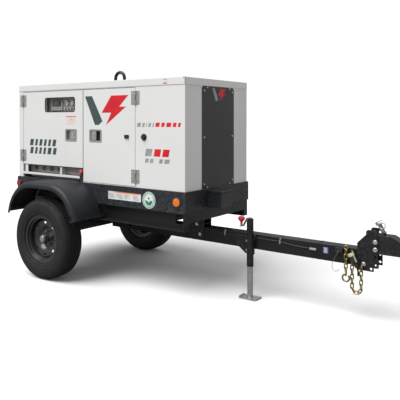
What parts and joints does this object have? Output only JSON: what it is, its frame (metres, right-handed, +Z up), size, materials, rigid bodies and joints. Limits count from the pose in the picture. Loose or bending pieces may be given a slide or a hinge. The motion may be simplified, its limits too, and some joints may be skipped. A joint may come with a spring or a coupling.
{
  "type": "towable diesel generator",
  "caption": "Enclosed diesel generator on a braked trailer: skid fuel tank, side doors, fenders, sprung wheels, jack, adjustable ball coupler and safety chains.",
  "frame": {"origin": "on the ground under the middle of the whole outline, midway between the coupler's nose and the rear lamps, in the middle plane of the drawbar", "axes": "+X forward to the coupler, +Y to the trailer's left, +Z up"},
  "size_m": [3.57, 1.56, 1.827],
  "materials": {
    "white_paint": "semi-gloss white powder coat with light road dust",
    "front_panel_paint": "semi-gloss grey-white powder coat",
    "tank_black": "semi-gloss black with dust",
    "chassis_black": "semi-gloss black with dust and scuffs",
    "fender_black": "satin black with dust",
    "rim_black": "gloss black",
    "tyre": "matte, dusty tread",
    "zinc": "dull zinc plate",
    "chain_zinc": "yellow zinc plate, worn",
    "wire_rope": "clear-coated steel wire",
    "red_plastic": "glossy red",
    "amber_lens": "clear amber lens",
    "red_lens": "clear red lens",
    "plug_plastic": "pale moulded plastic with a black boot",
    "cable_black": "satin black jacket",
    "box_black": "satin black",
    "cover_black": "gloss black",
    "latch_grey": "grey paint with a metal sheen",
    "window": "smoked clear plastic",
    "panel_grey": "matte dark grey",
    "engine_grey": "painted iron, slightly oily",
    "alternator_blue": "satin paint",
    "radiator_black": "satin black",
    "fan_plastic": "natural moulded plastic",
    "muffler_steel": "heat-stained aluminised steel",
    "battery_plastic": "black moulded plastic"
  },
  "bodies": {
    "chassis": {"fuel_tank_base": "tank_black", "right_rail": "chassis_black", "left_rail": "chassis_black", "crossmembers": "chassis_black", "drawbar": "chassis_black", "drawbar_saddle": "chassis_black", "coupler_channel": "chassis_black", "axle_beam": "chassis_black", "right_fender": "fender_black", "left_fender": "fender_black", "jack_body": "chassis_black", "coupler_head": "chassis_black", "chassis_bolts": "zinc", "safety_chains": "chain_zinc", "trailer_plug": "plug_plastic", "plug_cable": "cable_black", "breakaway_cable": "wire_rope", "brake_harness": "cable_black", "amber_lamps": "amber_lens", "red_lamps": "red_lens", "front_box": "box_black", "enclosure_frame": "white_paint", "roof_panel": "white_paint", "lifting_eye": "chassis_black", "front_panel": "front_panel_paint", "front_cover": "cover_black", "side_panels": "white_paint", "rear_panel": "white_paint", "control_panel": "panel_grey", "output_panel": "panel_grey", "engine": "engine_grey", "alternator": "alternator_blue", "radiator": "radiator_black", "muffler": "muffler_steel", "air_filter": "box_black", "battery": "battery_plastic"},
    "right_arm": {"right_torsion_arm": "chassis_black"},
    "left_arm": {"left_torsion_arm": "chassis_black"},
    "right_wheel": {"right_hub": "zinc", "right_rim": "rim_black", "right_tyre": "tyre"},
    "left_wheel": {"left_hub": "zinc", "left_rim": "rim_black", "left_tyre": "tyre"},
    "leg": {"jack_leg": "zinc"},
    "crank": {"jack_crank": "zinc"},
    "knob": {"jack_knob": "red_plastic"},
    "lever": {"coupler_latch": "zinc"},
    "pin": {"latch_pin": "zinc"},
    "box_lid": {"front_box_lid": "box_black"},
    "control_door": {"control_door": "white_paint", "control_window": "window"},
    "right_engine_door": {"right_engine_door": "white_paint"},
    "left_engine_door": {"left_engine_door": "white_paint"},
    "control_paddle": {"control_door_latch": "latch_grey"},
    "right_engine_paddle": {"right_engine_latch": "latch_grey"},
    "left_engine_paddle": {"left_engine_latch": "latch_grey"},
    "stop": {"stop_button": "red_plastic"},
    "fan": {"fan": "fan_plastic"},
    "fuel_cap": {"fuel_cap": "box_black"}
  },
  "joints": [
    {"name": "right_arm_swing", "type": "hinge", "parent": "chassis", "child": "right_arm", "pos_m": [-0.97773, -0.5, 0.43059], "axis": [0, 1, 0], "range_deg": [-10, 25], "stiffness_Nm_per_rad": 3880, "springref_deg": -10},
    {"name": "left_arm_swing", "type": "hinge", "parent": "chassis", "child": "left_arm", "pos_m": [-0.97773, 0.5, 0.43059], "axis": [0, 1, 0], "range_deg": [-10, 25], "stiffness_Nm_per_rad": 3880, "springref_deg": -10},
    {"name": "right_wheel_spin", "type": "hinge", "parent": "right_arm", "child": "right_wheel", "pos_m": [-1.103, -0.655, 0.3445], "axis": [0, 1, 0], "continuous": true},
    {"name": "left_wheel_spin", "type": "hinge", "parent": "left_arm", "child": "left_wheel", "pos_m": [-1.103, 0.655, 0.3445], "axis": [0, 1, 0], "continuous": true},
    {"name": "jack_crank_turn", "type": "hinge", "parent": "chassis", "child": "crank", "pos_m": [0.575, -0.086, 0.61], "axis": [0, 0, 1], "range_deg": [0, 28800]},
    {"name": "jack_lift", "type": "slide", "parent": "chassis", "child": "leg", "axis": [0, 0, 1], "range_m": [0, 0.2]},
    {"name": "jack_knob_spin", "type": "hinge", "parent": "crank", "child": "knob", "pos_m": [0.537, -0.15182, 0.59], "axis": [0, 0, 1], "continuous": true},
    {"name": "coupler_latch_swing", "type": "hinge", "parent": "chassis", "child": "lever", "pos_m": [1.555, 0, 0.607], "axis": [0, 1, 0], "range_deg": [0, 80]},
    {"name": "latch_pin_pull", "type": "slide", "parent": "lever", "child": "pin", "axis": [0, -1, 0], "range_m": [0, 0.06]},
    {"name": "front_box_lid_hinge", "type": "hinge", "parent": "chassis", "child": "box_lid", "pos_m": [0.2425, -0.115, 0.816], "axis": [0, -1, 0], "range_deg": [0, 90]},
    {"name": "control_door_hinge", "type": "hinge", "parent": "chassis", "child": "control_door", "pos_m": [-1.696, -0.47, 1.29], "axis": [0, 0, -1], "range_deg": [0, 170]},
    {"name": "right_engine_door_hinge", "type": "hinge", "parent": "chassis", "child": "right_engine_door", "pos_m": [-0.267, -0.47, 1.23], "axis": [0, 0, 1], "range_deg": [0, 170]},
    {"name": "left_engine_door_hinge", "type": "hinge", "parent": "chassis", "child": "left_engine_door", "pos_m": [-0.267, 0.47, 1.23], "axis": [0, 0, -1], "range_deg": [0, 170]},
    {"name": "control_paddle_pull", "type": "hinge", "parent": "control_door", "child": "control_paddle", "pos_m": [-0.975, -0.456, 1.232], "axis": [0, 0, 1], "range_deg": [0, 35], "stiffness_Nm_per_rad": 1.5},
    {"name": "right_engine_paddle_pull", "type": "hinge", "parent": "right_engine_door", "child": "right_engine_paddle", "pos_m": [-0.772, -0.456, 1.232], "axis": [0, 0, -1], "range_deg": [0, 35], "stiffness_Nm_per_rad": 1.5},
    {"name": "left_engine_paddle_pull", "type": "hinge", "parent": "left_engine_door", "child": "left_engine_paddle", "pos_m": [-0.772, 0.456, 1.232], "axis": [0, 0, 1], "range_deg": [0, 35], "stiffness_Nm_per_rad": 1.5},
    {"name": "stop_press", "type": "slide", "parent": "chassis", "child": "stop", "axis": [0, 1, 0], "range_m": [0, 0.006], "stiffness_N_per_m": 1200},
    {"name": "fan_spin", "type": "hinge", "parent": "chassis", "child": "fan", "pos_m": [-0.034, 0, 1.209], "axis": [1, 0, 0], "continuous": true},
    {"name": "fuel_cap_turn", "type": "hinge", "parent": "chassis", "child": "fuel_cap", "pos_m": [-0.47, 0.352, 0.84], "axis": [0, 0, 1], "range_deg": [0, 540]}
  ],
  "couplings": [
    {"joint": "jack_lift", "follows": "jack_crank_turn", "m_per_rad": 0.00039789}
  ]
}
